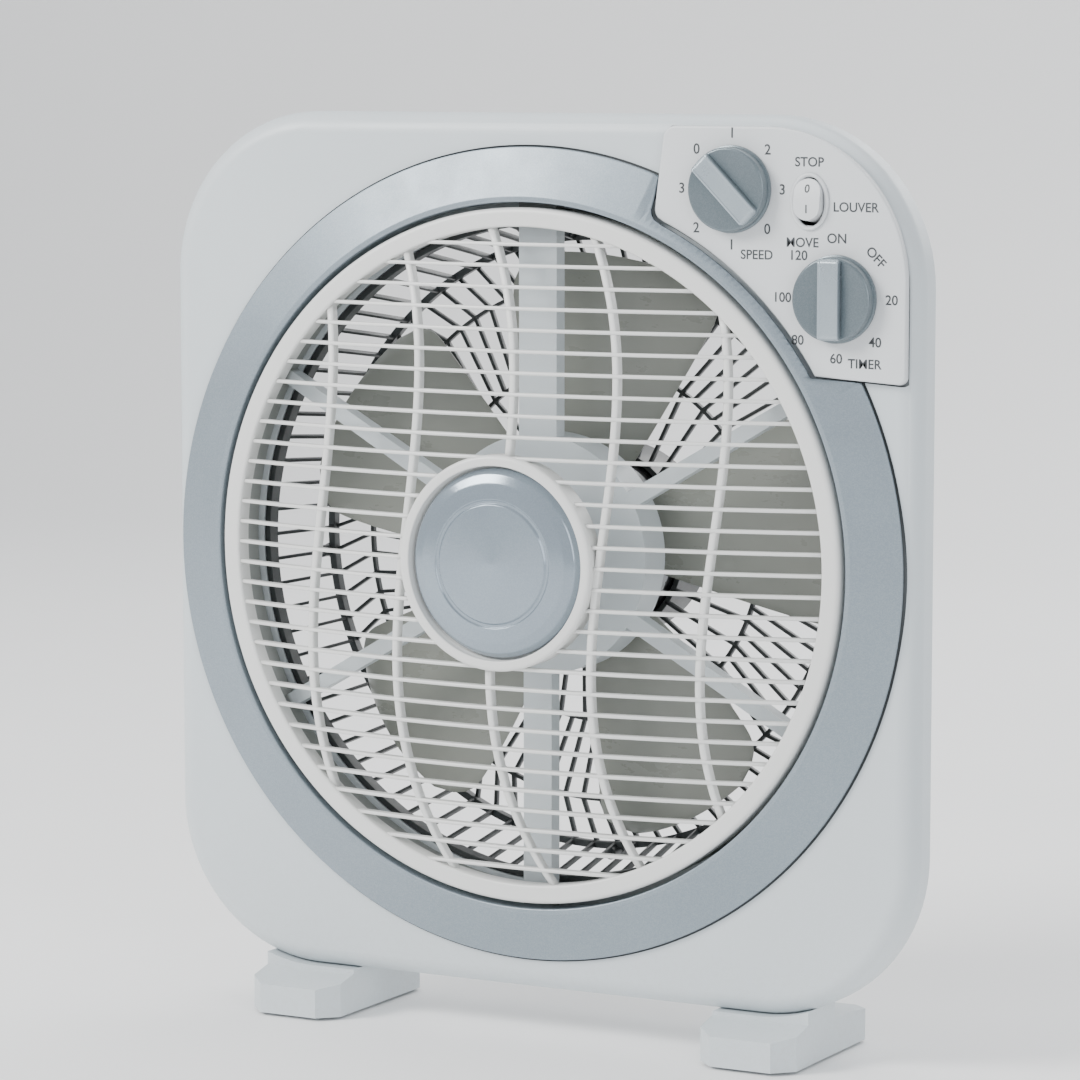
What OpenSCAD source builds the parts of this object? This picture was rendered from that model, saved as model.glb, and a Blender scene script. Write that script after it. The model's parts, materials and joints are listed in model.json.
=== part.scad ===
// Twelve-inch box fan with a motor-driven rotating louver grille.
// The fan faces -Y. The origin is on the floor, under the middle of the whole object.
// "Depth" is measured backward from the front plane, which is the outer edge of the trim ring.

/* [Housing] */
// Width of the housing
body_w = 396; // [392:1:404]
// Height of the housing
body_h = 415; // [412:1:424]
// Radius of the housing's corners, seen from the front
corner_r = 78; // [76:1:80]
// Depth of the line where the front shell and the back cover meet
split_d = 20; // [19:0.5:20]
// Depth of the back cover's outer face
back_d = 36; // [36:1:38]
// Wall thickness of the moulded shells
wall = 3; // [2.5:0.1:3.2]
// Height of the fan's axis above the floor
axis_z = 230; // [230:1:236]
// How far the back cover draws in on each side
back_taper = 8; // [7:1:9]

/* [Trim ring and louver grille] */
// Outer radius of the trim ring
ring_r = 192; // [190:1:193]
// Inner radius of the trim ring
ring_inner_r = 166.5; // [166:0.1:167]
// How far the trim ring's inner edge stands in front of its outer edge
ring_rise = 7; // [5:0.5:8]
// Outer radius of the louver grille's rim
rim_r = 164; // [163.5:0.1:164.2]
// Width of the louver grille's rim
rim_w = 9; // [8:0.5:10]
// How far the louver grille bulges in front of its rim
dome_rise = 26; // [22:1:26]
// Distance from one louver slat to the next
slat_pitch = 9.8; // [9:0.1:12]
// Thickness of a louver slat
slat_t = 1.8; // [1.6:0.1:2.4]
// Front-to-back size of a louver slat
slat_depth = 5; // [4.5:0.5:7]
// Width of an upright rib of the louver grille
rib_w = 3.6; // [3:0.1:5]
// Outer radius of the ring round the centre cap
hub_ring_r = 50.5; // [49:0.5:52]

/* [Fan blade] */
// Number of blades
blade_count = 5; // [3:1:6]
// Radius at the blade tips
blade_r = 143; // [138:1:144]
// Radius of the blade's hub
hub_r = 38; // [36:1:40]
// Half the front-to-back size of a blade at its tip
blade_half_depth = 10; // [8:1:11]
// Thickness of a blade
blade_t = 2; // [1.6:0.1:2.6]

/* [Controls] */
// Radius of the speed and timer knobs
knob_r = 20; // [18:0.5:20.5]
// How far the knobs stand out from the control panel
knob_h = 10; // [9:1:14]
// How far the louver rocker tips between its two states, in degrees
rocker_swing = 14; // [8:1:16]

/* [Feet] */
// Width of a foot
foot_w = 49; // [44:1:50]
// Height of a foot at its toes
toe_h = 15; // [13:1:15.5]
// How far a foot reaches in front of the front plane
toe_front = 20; // [18:1:26]
// How far a foot reaches behind the housing
toe_back = 39; // [36:1:42]
// Distance of a foot's middle from the fan's middle
foot_x = 121.5; // [118:0.5:123]

/* [Hidden] */
eps = 0.01;
$fn = 96;

// Colours
shell_grey = [0.84, 0.86, 0.87];
silver = [0.62, 0.65, 0.69];
knob_grey = [0.50, 0.54, 0.58];
charcoal = [0.20, 0.22, 0.22];
blade_grey = [0.56, 0.56, 0.52];
steel = [0.72, 0.73, 0.75];
copper = [0.72, 0.42, 0.22];

// The whole depth, from the cap's face to the motor pod's back rim, sets where the front plane is
cap_front = ring_rise + dome_rise + 3;
feet_back = back_d + toe_back;
pod_d1 = 99;
face_y = (cap_front - pod_d1) / 2;
corner_x = body_w / 2 - corner_r;
corner_z = body_h / 2 - corner_r;

// Front shell
face_d = 1.5;
face_back_d = face_d + wall;
edge_round = 10;
shell_step = 1;
opening_r = ring_inner_r + 2.7;

// Back cover: a shallow tray with a recessed round seat for the guard
back_edge_round = 4;
seat_r = 158.5;
seat_rim_r = 170;
seat_rim_t = 2.5;
seat_d0 = 21;
seat_d1 = 26;
shell_screw_xz = [172, 168];
shell_screw_d = 26;
well_r = 4.5;
inlet_xz = [135, -150];

// Guard: a solid band, a skirt of open bars that draws in, and a flat back
skirt_r = 158;
skirt_inner_r = 155;
skirt_d0 = 21;
skirt_flange_r = 169;
skirt_open_d = 28.5;
skirt_back_r = 149.5;
grille_d0 = 70;
grille_d1 = 73.5;
grille_rings = [45.5, 87, 126, 146.5];
grille_bars = 40;
bar_w = 1.8;
bar_depth = 3.5;
guard_screw_r = 163.5;
guard_screw_as = [45:90:315];
rim_screw_r = 151;
rim_screw_as = [4.5:90:274.5];
pod_r = 47.5;
pod_wall = 2.5;
pod_floor_d = 92;

// Spider and louver motor
spider_d0 = 10;
spider_arm_d1 = 18;
spider_r = 57;
spider_ring_r = 163.5;
spider_ring_t = 3.5;
spider_ring_d0 = 7;
spider_ear_r = 176;
spider_arm_w = [[90, 20, 20], [270, 15, 15], [30, 8, 6.5], [150, 8, 6.5], [210, 8, 6.5], [330, 8, 6.5]];
cup_d1 = 28;
cover_t = 2.5;
cover_screw_r = 50;
cover_screw_a = [30, 150, 270];
louver_shaft_r = 3.5;
slat_count = 31;
rib_x = [-104, -52, 0, 52, 104];

// Fan motor
shaft_r = 4;
motor_r = 43;
motor_d0 = 62;
motor_d1 = pod_floor_d;
core_d0 = 72;
core_d1 = 80;
rotor_r = 23.5;
bush_r = 9;
bush_len = 8;
motor_screw_r = 39;
mount_screw_r = 30;
motor_lead_a = 106;
motor_lead_d = 77;
lead_hole_r = 3;
lead_exit_xz = [178 * cos(motor_lead_a), 178 * sin(motor_lead_a)];

// Blade hub
hub_d0 = 34;
hub_d1 = 60;
hub_plate_d = 40;
blade_mid_d = 50;
blade_lean = 4.5;
blade_turn = 5.5;

// Control panel
panel_d0 = -3;
panel_arc_r = 174;
panel_right = 193.5;
panel_top = 202.4;
panel_bottom = 87.8;
panel_corner_r = 70;
speed_xz = [107, 174];
timer_xz = [159.5, 125.5];
rocker_xz = [146, 169];
spindle_r = 3;
knob_gap = 0.4;
rocker_w = 13;
rocker_h = 20.6;
rocker_pivot_d = 3;
rocker_pin_r = 1;
ear_x = 24;
ear_d = 8;
function ear_screws() = [for (xz = [speed_xz, timer_xz], x = [-ear_x, ear_x]) xz + [x, 0]];

// Feet
pad_h = 1.5;
body_bottom = axis_z - body_h / 2;
foot_screw_d = 27;
foot_screw_dx = 12;
foot_screw_z = 9.5;
function foot_screw_xs() = [for (x = [-foot_x, foot_x], dx = [-foot_screw_dx, foot_screw_dx]) x + dx];

// ---- Placing ----

// Draws its children as seen from the front, with local +Z toward the viewer
module seen_from_front(depth = 0) {
    translate([0, face_y + depth, axis_z]) rotate([90, 0, 0]) children();
}

// A flat outline, as seen from the front, between two depths
module slab(d0, d1) {
    seen_from_front(d1) linear_extrude(d1 - d0) children();
}

// A turned piece on the fan's axis, or about another point, from a list of [radius, depth]
module lathe(points, xz = [0, 0]) {
    seen_from_front() translate([xz[0], xz[1], 0])
        rotate_extrude($fn = 180) polygon([for (p = points) [p[0], -p[1]]]);
}

// A tube or a rod along the depth
module tube(r, d0, d1, bore = 0, xz = [0, 0]) {
    seen_from_front(d1) translate([xz[0], xz[1], 0]) difference() {
        cylinder(r = r, h = d1 - d0);
        if (bore > 0) translate([0, 0, -1]) cylinder(r = bore, h = d1 - d0 + 2);
    }
}

function polar(r, a) = [r * cos(a), r * sin(a)];
function arc(c, r, a0, a1, n) = [for (i = [0:n]) c + polar(r, a0 + (a1 - a0) * i / n)];

// ---- Outlines seen from the front ----

module round_rect(w, h, r) {
    square([w - 2 * r, h], center = true);
    square([w, h - 2 * r], center = true);
    for (x = [-1, 1], y = [-1, 1]) translate([x * (w / 2 - r), y * (h / 2 - r)]) circle(r);
}

// The housing's outline, drawn in on every side
module body_outline(inset) {
    round_rect(body_w - 2 * inset, body_h - 2 * inset, corner_r - inset);
}

// Runs a wall section once round the housing: x is outward from the outline, y is forward
module round_the_outline() {
    for (i = [0:3]) {
        side = i % 2 == 0 ? [body_w / 2, corner_z] : [body_h / 2, corner_x];
        sx = (i == 0 || i == 3) ? 1 : -1;
        sz = i < 2 ? 1 : -1;
        translate([sx * corner_x, sz * corner_z, 0]) rotate(90 * i)
            rotate_extrude(angle = 90) translate([corner_r, 0]) children();
        rotate(90 * i) translate([side[0], side[1], 0]) rotate([90, 0, 0])
            linear_extrude(2 * side[1]) children();
    }
}

// Outline of the control panel, grown outward by a margin
module panel_outline(grow = 0) {
    c = [panel_right - panel_corner_r, panel_top - panel_corner_r];
    cut_r = panel_arc_r - grow;
    polygon(concat(
        arc(c, panel_corner_r + grow, 0, 90, 24),
        arc([77.8, panel_top - 6], 6 + grow, 90, 170, 6),
        arc([72.6, 164], 5 + grow, 176, 235, 5),
        arc([0, 0], cut_r, 65.3, 31.2, 14),
        arc([190, panel_bottom + 3.5], 3.5 + grow, 270, 360, 6)));
}

// ---- Fixed parts of the housing ----

// Front shell's side wall and quarter-round edge, with a short lip that joins its face
module front_wall_section() {
    c = [-edge_round, -face_d - edge_round];
    polygon(concat([[c[0] - 4, -face_d]], arc(c, edge_round, 90, 0, 10),
                   [[0, -split_d], [-wall, -split_d]],
                   arc(c, edge_round - wall, 0, 90, 10), [[c[0] - 4, -face_back_d]]));
}

module front_housing() color(shell_grey) {
    post_r = 5;
    // A web joins each corner post to the side wall
    web_d0 = 8;
    web_t = 3;
    web = shell_screw_xz - [corner_x, corner_z];
    web_l = corner_r - norm(web) - post_r - wall + 2;
    difference() {
        union() {
            seen_from_front() round_the_outline() front_wall_section();
            slab(face_d, face_back_d) difference() {
                body_outline(edge_round + 2);
                circle(r = opening_r, $fn = 180);
            }
        }
        slab(face_d - 1, face_back_d + 1) panel_outline(-3);
    }
    for (at = shell_screw_points()) {
        tube(post_r, face_back_d - eps, split_d, 1.5, at);
        slab(web_d0, split_d) translate(at) rotate(atan2(sign(at[1]) * web[1], sign(at[0]) * web[0]))
            translate([post_r - 1, -web_t / 2]) square([web_l, web_t]);
    }
    for (arm = spider_arm_w)
        tube(post_r, face_back_d - eps, spider_d0, 1.5, polar(spider_ear_r, arm[0]));
}

module trim_ring() color(silver) {
    t = 1.5;
    difference() {
        lathe([[ring_inner_r, -ring_rise], [ring_inner_r + 2.5, -ring_rise], [ring_r, -0.6],
               [ring_r, face_d], [ring_r - 4, face_d], [ring_inner_r + 2.5, t - ring_rise],
               [ring_inner_r + 2.5, face_back_d], [ring_inner_r, face_back_d]]);
        difference() {
            slab(-ring_rise - 1, face_back_d + 1) panel_outline(0.3);
            tube(ring_inner_r + 2.5 + eps, -ring_rise - 2, face_back_d + 2);
        }
    }
}

module control_panel() color(shell_grey) {
    slab(panel_d0, face_d) difference() {
        panel_outline();
        translate(speed_xz) circle(spindle_r + 0.5);
        translate(timer_xz) circle(spindle_r + 0.5);
        translate(rocker_xz) round_rect(rocker_w + 1, rocker_h + 1, rocker_w / 2 + 0.5 - eps);
    }
    slab(panel_d0 - 1.2, panel_d0) translate(rocker_xz) difference() {
        round_rect(19, 26, 9.5 - eps);
        round_rect(rocker_w + 1, rocker_h + 1, rocker_w / 2 + 0.5 - eps);
    }
    for (xz = ear_screws()) tube(3, face_d, ear_d, 1.2, xz);
}

module spider_arm(angle, w0, w1) {
    rotate(angle) difference() {
        union() {
            polygon([[spider_r - 3, -w0 / 2], [spider_ear_r, -w1 / 2],
                     [spider_ear_r, w1 / 2], [spider_r - 3, w0 / 2]]);
            translate([spider_ear_r, 0]) circle(7);
        }
        translate([spider_ear_r, 0]) circle(2.2);
    }
}

module louver_spider() color(shell_grey) {
    slab(spider_d0, spider_arm_d1) for (arm = spider_arm_w) spider_arm(arm[0], arm[1], arm[2]);
    tube(spider_ring_r, spider_ring_d0, spider_arm_d1, spider_ring_r - spider_ring_t);
    tube(spider_r, spider_d0, cup_d1, spider_r - 2.5);
    tube(spider_r - 2, spider_d0, spider_d0 + 2.5, louver_shaft_r + 1.5);
    for (a = cover_screw_a) tube(4, spider_d0 + 2, cup_d1, 1.2, polar(cover_screw_r, a));
}

module louver_motor() color(steel) {
    tube(25, spider_d0 + 2.5, cup_d1 - 1, louver_shaft_r + 0.05);
    slab(spider_d0 + 2.5, spider_d0 + 4) for (a = [0, 180]) rotate(a) difference() {
        translate([23, -6]) square([12, 12]);
        translate([30, 0]) circle(1.6);
    }
}

module louver_motor_cover() color(shell_grey) slab(cup_d1, cup_d1 + cover_t) difference() {
    circle(spider_r);
    for (a = cover_screw_a) translate(polar(cover_screw_r, a)) circle(1.7);
}

// Outer face of the back cover at a depth, as an offset from the housing's outline
function back_offset(d) = -shell_step - back_taper * (d - split_d) / (back_d - back_edge_round - split_d);

// Height of the back cover's underside where the foot screws enter it
function screwed_floor() = body_bottom - back_offset(foot_screw_d);

function shell_screw_points() =
    [for (x = [-1, 1], z = [-1, 1]) [x * shell_screw_xz[0], z * shell_screw_xz[1]]];

module foot_screw_posts() {
    for (x = foot_screw_xs()) translate([x, face_y + foot_screw_d, screwed_floor() + 1]) cylinder(r = 5, h = 12);
}

module foot_screw_holes() {
    for (x = foot_screw_xs()) translate([x, face_y + foot_screw_d, 0])
        cylinder(r = 1.5, h = screwed_floor() + 10);
}

module rear_wall_section() {
    d1 = back_d - back_edge_round;
    o1 = back_offset(d1);
    c = [o1 - back_edge_round, -d1];
    difference() {
        polygon(concat([[-shell_step, -split_d], [o1, -d1]],
                       arc(c, back_edge_round, 0, -90, 6),
                       [c - [2, back_edge_round], c - [2, -eps], [-shell_step - wall - 6, -split_d]]));
        polygon(concat([[-shell_step - wall, 1 - split_d], [o1 - wall, -d1]],
                       arc(c, back_edge_round - wall, 0, -90, 6),
                       [c - [3, back_edge_round - wall], c - [3, -9], [-shell_step - wall - 9, 1 - split_d]]));
    }
}

// Draws its children on the rocker's axis, with local +Z along it
module on_the_rocker_axis() {
    translate([rocker_xz[0], face_y + rocker_pivot_d, axis_z + rocker_xz[1]]) rotate([0, 90, 0]) children();
}

module back_cover() color(shell_grey) difference() {
    union() {
        seen_from_front() round_the_outline() rear_wall_section();
        slab(back_d - wall, back_d) difference() {
            body_outline(shell_step + back_taper + back_edge_round - eps);
            circle(r = seat_rim_r, $fn = 180);
        }
        tube(seat_rim_r + seat_rim_t, seat_d0, back_d - eps, seat_rim_r);
        tube(seat_rim_r + 1, seat_d0, seat_d1, seat_r);
        intersection() {
            union() {
                for (at = shell_screw_points()) tube(well_r + 2, split_d, back_d - 1, 0, at);
                foot_screw_posts();
            }
            back_envelope(0);
        }
    }
    for (at = shell_screw_points()) {
        tube(well_r, shell_screw_d, back_d + 1, 0, at);
        tube(1.8, split_d - 1, shell_screw_d + 1, 0, at);
    }
    for (a = guard_screw_as) tube(1.5, seat_d0 - 1, seat_d1 + 1, 0, polar(guard_screw_r, a));
    tube(7, back_d - wall - 1, back_d + 1, 0, inlet_xz);
    tube(lead_hole_r, back_d - wall - 1, back_d + 1, 0, lead_exit_xz);
    foot_screw_holes();
}

// The space inside the tapered wall's outer face, grown outward by a margin
module back_envelope(grow) {
    d1 = back_d - back_edge_round;
    hull() {
        slab(split_d, split_d + eps) body_outline(shell_step - grow);
        slab(d1 - eps, back_d) body_outline(-back_offset(d1) - grow);
    }
}

// Half-thick bars that run from a front radius and depth to a back radius and depth
module skirt_bars() {
    section = [[skirt_inner_r, skirt_open_d - 1], [skirt_inner_r + bar_depth - 0.7, skirt_open_d - 1],
               [skirt_back_r - 0.2, grille_d0 - 1], [skirt_back_r - bar_depth, grille_d0 - 1]];
    seen_from_front() for (i = [0:grille_bars - 1]) rotate(i * 360 / grille_bars) rotate([90, 0, 0])
        linear_extrude(bar_w, center = true) polygon([for (p = section) [p[0], -p[1]]]);
}

module guard_skirt() color(charcoal) {
    difference() {
        lathe([[skirt_inner_r, skirt_d0], [skirt_r, skirt_d0], [skirt_r, seat_d1], [skirt_flange_r, seat_d1],
               [skirt_flange_r, skirt_open_d], [skirt_inner_r, skirt_open_d]]);
        for (a = guard_screw_as) tube(1.8, seat_d1 - 1, skirt_open_d + 1, 0, polar(guard_screw_r, a));
    }
    skirt_bars();
    tube(skirt_back_r, grille_d0 - 3, grille_d0, skirt_back_r - bar_depth);
    for (a = rim_screw_as) tube(3, grille_d0 - 8, grille_d0, 1.2, polar(rim_screw_r, a));
}

// Bars of one zone lean one way, and those of the next zone lean back
module grille_zone(r0, r1, lean) {
    step = 360 / grille_bars;
    for (i = [0:grille_bars - 1]) {
        p0 = polar(r0, i * step);
        p1 = polar(r1, (i + lean / 2) * step);
        n = bar_w / 2 * [-(p1 - p0)[1], (p1 - p0)[0]] / norm(p1 - p0);
        polygon([p0 - n, p1 - n, p1 + n, p0 + n]);
    }
}

module rear_grille() color(charcoal) {
    slab(grille_d0, grille_d1) {
        grille_zone(grille_rings[0], grille_rings[1], 1);
        rotate(180 / grille_bars) grille_zone(grille_rings[1], grille_rings[2], -1);
        grille_zone(grille_rings[2], grille_rings[3] + 1, 1);
        for (r = [grille_rings[1], grille_rings[2]]) difference() {
            circle(r + 1);
            circle(r - 1);
        }
        difference() {
            union() {
                circle(skirt_back_r);
                for (a = rim_screw_as) translate(polar(rim_screw_r, a)) circle(3.5);
            }
            circle(grille_rings[3]);
            for (a = rim_screw_as) translate(polar(rim_screw_r, a)) circle(1.5);
        }
    }
    difference() {
        tube(pod_r, grille_d0, pod_d1, pod_r - pod_wall);
        seen_from_front(motor_lead_d) rotate(motor_lead_a) translate([pod_r - 2 * pod_wall, 0, 0])
            rotate([0, 90, 0]) cylinder(r = lead_hole_r, h = 4 * pod_wall);
    }
    slab(pod_floor_d, pod_floor_d + 3) difference() {
        circle(pod_r - 1);
        circle(bush_r + 1);
        for (a = [45:90:315]) {
            translate(polar(mount_screw_r, a)) circle(2.2);
            translate(polar(motor_screw_r, a)) circle(3.5);
        }
    }
}

// ---- Fan motor, fixed half ----

// A pressed cup with a bush seat, from its outer face to the core; it opens backward if d_in > d_out
module motor_cover(d_out, d_in) {
    t = 2;
    in = d_in > d_out ? 1 : -1;
    lathe([[bush_r, d_out], [motor_r - 4, d_out], [motor_r, d_out + in * 4], [motor_r, d_in],
           [motor_r - t, d_in], [motor_r - t, d_out + in * 5], [motor_r - 5, d_out + in * t],
           [bush_r + t, d_out + in * t], [bush_r + t, d_out + in * bush_len],
           [bush_r, d_out + in * bush_len]]);
}

module motor_screw_holes() {
    for (a = [45:90:315]) tube(1.55, motor_d0 - 1, motor_d1 + 1, 0, polar(motor_screw_r, a));
}

module motor_front_cover() color(steel) difference() {
    motor_cover(motor_d0, core_d0);
    motor_screw_holes();
    for (a = [0:60:300]) slab(motor_d0 - 1, motor_d0 + 3) rotate(a) translate([22, 0])
        square([10, 4], center = true);
}

module motor_rear_cover() color(steel) difference() {
    motor_cover(motor_d1, core_d1);
    motor_screw_holes();
    for (a = [45:90:315]) tube(1.8, motor_d1 - 5, motor_d1 + 1, 0, polar(mount_screw_r, a));
}

module stator_core() color([0.45, 0.46, 0.48]) slab(core_d0, core_d1) difference() {
    circle(motor_r);
    circle(rotor_r + 0.5);
    for (a = [0:45:315]) rotate(a) translate([29.5, 0]) square([9, 7], center = true);
    for (a = [45:90:315]) translate(polar(motor_screw_r, a)) circle(1.55);
}

// Each coil fills two slots and turns over the core's two faces
module stator_windings() color(copper) {
    for (a = [0:90:270]) seen_from_front() rotate(a + 22.5) {
        for (side = [-1, 1]) rotate(side * 22.5) translate([29.5, 0, -(core_d0 + core_d1) / 2])
            cube([7, 5, core_d1 - core_d0 + 9], center = true);
        for (d = [core_d0 - 4.5, core_d1 + 0.5]) translate([0, 0, -d - 4])
            rotate(-22.5) rotate_extrude(angle = 45) translate([26, 0]) square([7, 4]);
    }
}

module front_bush() color([0.72, 0.58, 0.32]) tube(bush_r, motor_d0, motor_d0 + bush_len, shaft_r + 0.03);
module rear_bush() color([0.72, 0.58, 0.32]) tube(bush_r, motor_d1 - bush_len, motor_d1, shaft_r + 0.03);

// ---- Controls behind the panel ----

// A square case with a spindle bore, a round back and an ear on each side
module switch_case(xz, half, d1, neck_r) {
    slab(face_d, d1) translate(xz) difference() {
        square(2 * half, center = true);
        circle(spindle_r + 0.05);
    }
    slab(ear_d, ear_d + 1.5) translate(xz) difference() {
        square([2 * ear_x + 7, 9], center = true);
        square(2 * half - 1, center = true);
        for (x = [-ear_x, ear_x]) translate([x, 0]) circle(1.6);
    }
    tube(neck_r, d1, d1 + 2, 0, xz);
}

module speed_switch() color([0.85, 0.82, 0.72]) {
    switch_case(speed_xz, 17, 17, 9);
    slab(19, 25) for (x = [-6, 0, 6]) translate(speed_xz + [x, 0]) square([2, 5], center = true);
}

module timer_mechanism() color(steel) {
    switch_case(timer_xz, 18, 19, 12);
    slab(21, 27) for (x = [-5, 5]) translate(timer_xz + [x, 0]) square([2, 5], center = true);
}

module rocker_switch() color([0.12, 0.12, 0.13]) {
    difference() {
        slab(face_d, 16) translate(rocker_xz) square([17, 24], center = true);
        slab(face_d - 1, 12) translate(rocker_xz) square([rocker_w + 1, rocker_h + 1], center = true);
    }
    slab(16, 22) for (z = [-6, 0, 6]) translate(rocker_xz + [0, z]) square([4, 1], center = true);
    on_the_rocker_axis() cylinder(r = rocker_pin_r, h = rocker_w + 3, center = true);
}

module run_capacitor() color([0.92, 0.92, 0.88])
    slab(face_back_d, face_back_d + 22) translate([45, 183]) square([40, 20], center = true);

module terminal_block() color([0.9, 0.9, 0.9]) slab(face_back_d, face_back_d + 12) difference() {
    translate([-45, 184]) square([50, 16], center = true);
    for (i = [-2:2]) translate([-45 + 9 * i, 184]) circle(2);
}

// A lead through a list of [x, height above the axis, depth]
module lead(points, r) {
    for (i = [1:len(points) - 1]) hull() for (p = [points[i - 1], points[i]])
        translate([p[0], face_y + p[2], axis_z + p[1]]) sphere(r, $fn = 8);
}

module wire_harness() color([0.15, 0.15, 0.17]) {
    corner = polar(skirt_back_r + 4, motor_lead_a);
    inside = polar(motor_r + 2.2, motor_lead_a);
    lead([[-45, 178, 19], [lead_exit_xz[0], lead_exit_xz[1], 28], [lead_exit_xz[0], lead_exit_xz[1], back_d + 4],
          [corner[0], corner[1], motor_lead_d], [inside[0], inside[1], motor_lead_d]], 2);
    lead([[-28, 184, 19], [-6, 172, 19], [-6, 61, 19]], 0.9);
    lead([[-20, 184, 19], [10, 186, 30], [80, 184, 30], [107, 176, 28]], 2.5);
    lead([[114, 176, 28], [130, 174, 28], [150, 150, 30], [159.5, 129, 30]], 2);
}

module cord_inlet() color(charcoal) {
    tube(9, back_d, back_d + 3, 3.8, inlet_xz);
    tube(7 - 0.02, back_d - wall, back_d, 3.8, inlet_xz);
    tube(9, back_d - wall - 2.5, back_d - wall, 3.8, inlet_xz);
}

// ---- Feet ----

// Depth and height of a foot's side view; its top is cut to the housing's underside
module foot_side() {
    top = pad_h + toe_h;
    polygon([[-toe_front, pad_h], [feet_back, pad_h], [feet_back, top - 1], [back_d - 4, top + 3],
             [back_d - 9, body_bottom + 40], [face_d, body_bottom + 40], [face_d, top + 4],
             [-toe_front, top - 1]]);
}

module foot_plan() {
    c = 9;
    polygon([[-foot_w / 2, -toe_front + c], [-foot_w / 2 + c, -toe_front], [foot_w / 2 - c, -toe_front],
             [foot_w / 2, -toe_front + c], [foot_w / 2, feet_back - c], [foot_w / 2 - c, feet_back],
             [-foot_w / 2 + c, feet_back], [-foot_w / 2, feet_back - c]]);
}

module foot(x) {
    difference() {
        intersection() {
            translate([x - foot_w / 2, face_y, 0]) rotate([90, 0, 90]) linear_extrude(foot_w) foot_side();
            translate([x, face_y, 0]) linear_extrude(body_bottom + 60) foot_plan();
        }
        slab(face_d - 1, split_d) body_outline(-0.1);
        back_envelope(0.1);
        for (dx = [-foot_screw_dx, foot_screw_dx]) translate([x + dx, face_y + foot_screw_d, 0]) {
            cylinder(r = 5, h = foot_screw_z);
            cylinder(r = 1.8, h = body_bottom + 40);
        }
    }
}

module left_foot() color(shell_grey) foot(-foot_x);
module right_foot() color(shell_grey) foot(foot_x);

module foot_pads() color(charcoal)
    for (x = [-foot_x, foot_x], d = [0, feet_back - toe_front])
        translate([x, face_y + d, 0]) cylinder(r = 10, h = pad_h);

// ---- Fasteners ----

// A pan-head screw along the depth; the head is at the back
module screw(xz, d_tip, d_head, r = 1.5) {
    seen_from_front() translate([xz[0], xz[1], 0]) {
        translate([0, 0, -d_head]) cylinder(r = r, h = d_head - d_tip, $fn = 24);
        difference() {
            translate([0, 0, -d_head - 1.6 * r]) cylinder(r = 2 * r, h = 1.6 * r, $fn = 32);
            for (a = [0, 90]) rotate(a) translate([0, 0, -d_head - 1.6 * r])
                cube([2.4 * r, 0.5 * r, 1.6 * r], center = true);
        }
    }
}

module housing_screws() color(steel) for (at = shell_screw_points())
    screw(at, split_d - 12, shell_screw_d);
module spider_screws() color(steel) for (arm = spider_arm_w)
    screw(polar(spider_ear_r, arm[0]), spider_d0 - 4, spider_arm_d1);
module cover_screws() color(steel) for (a = cover_screw_a)
    screw(polar(cover_screw_r, a), cup_d1 - 7, cup_d1 + cover_t, 1.2);
module motor_screws() color(steel) for (a = [45:90:315])
    screw(polar(motor_screw_r, a), motor_d0 + 1, motor_d1, 1.5);
module grille_screws() color(steel) {
    for (a = [45:90:315]) screw(polar(mount_screw_r, a), motor_d1 - 4, pod_floor_d + 3, 1.7);
    for (a = guard_screw_as) screw(polar(guard_screw_r, a), seat_d0 + 0.5, skirt_open_d, 1.5);
    for (a = rim_screw_as) screw(polar(rim_screw_r, a), grille_d0 - 6, grille_d1, 1.2);
}
module panel_screws() color(steel) for (xz = ear_screws()) screw(xz, 2, ear_d + 1.5, 1.2);
module foot_screws() color(steel) for (x = foot_screw_xs())
    translate([x, face_y + foot_screw_d, foot_screw_z]) {
        cylinder(r = 1.5, h = screwed_floor() + 9 - foot_screw_z);
        translate([0, 0, -2.4]) cylinder(r = 3.6, h = 2.4);
    }

// ---- Rotating louver ----

dome_r = (pow(rim_r - rim_w, 2) + dome_rise * dome_rise) / (2 * dome_rise);
dome_centre_d = -ring_rise - dome_rise + dome_r;

// An upright rib leans and curls back like an S
function rib_at(x0, z) = x0 + 0.13 * z - 1.0e-5 * z * z * z;

module rib_outline(x0) {
    zs = [for (z = [-156:24:156]) z];
    polygon(concat([for (z = zs) [rib_at(x0, z) + rib_w / 2, z]],
                   [for (i = [len(zs) - 1:-1:0]) [rib_at(x0, zs[i]) - rib_w / 2, zs[i]]]));
}

module louver_grille() color([0.88, 0.89, 0.90]) {
    clear_r = rim_r - rim_w;
    intersection() {
        seen_from_front(dome_centre_d) difference() {
            sphere(dome_r, $fn = 200);
            sphere(dome_r - slat_depth, $fn = 200);
        }
        slab(-60, 8) difference() {
            union() {
                for (i = [0:slat_count - 1])
                    translate([0, (i - (slat_count - 1) / 2) * slat_pitch])
                        square([2 * clear_r + 2, slat_t], center = true);
                for (x0 = rib_x) rib_outline(x0);
            }
            circle(hub_ring_r - 1);
            difference() { circle(rim_r * 2); circle(clear_r + 1); }
        }
    }
    lathe([[clear_r, 1], [clear_r, -ring_rise - 0.5], [clear_r + 1.5, -ring_rise - 1],
           [rim_r - 1.5, -ring_rise - 1], [rim_r, -ring_rise + 0.5], [rim_r, 1]]);
    lathe([[hub_ring_r, -22], [hub_ring_r, 1.5 - ring_rise - dome_rise],
           [hub_ring_r - 1.5, -0.5 - ring_rise - dome_rise], [hub_ring_r - 5, -0.5 - ring_rise - dome_rise],
           [hub_ring_r - 5, -25], [louver_shaft_r, -25], [louver_shaft_r, 7], [9, 7], [9, -22]]);
}

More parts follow.
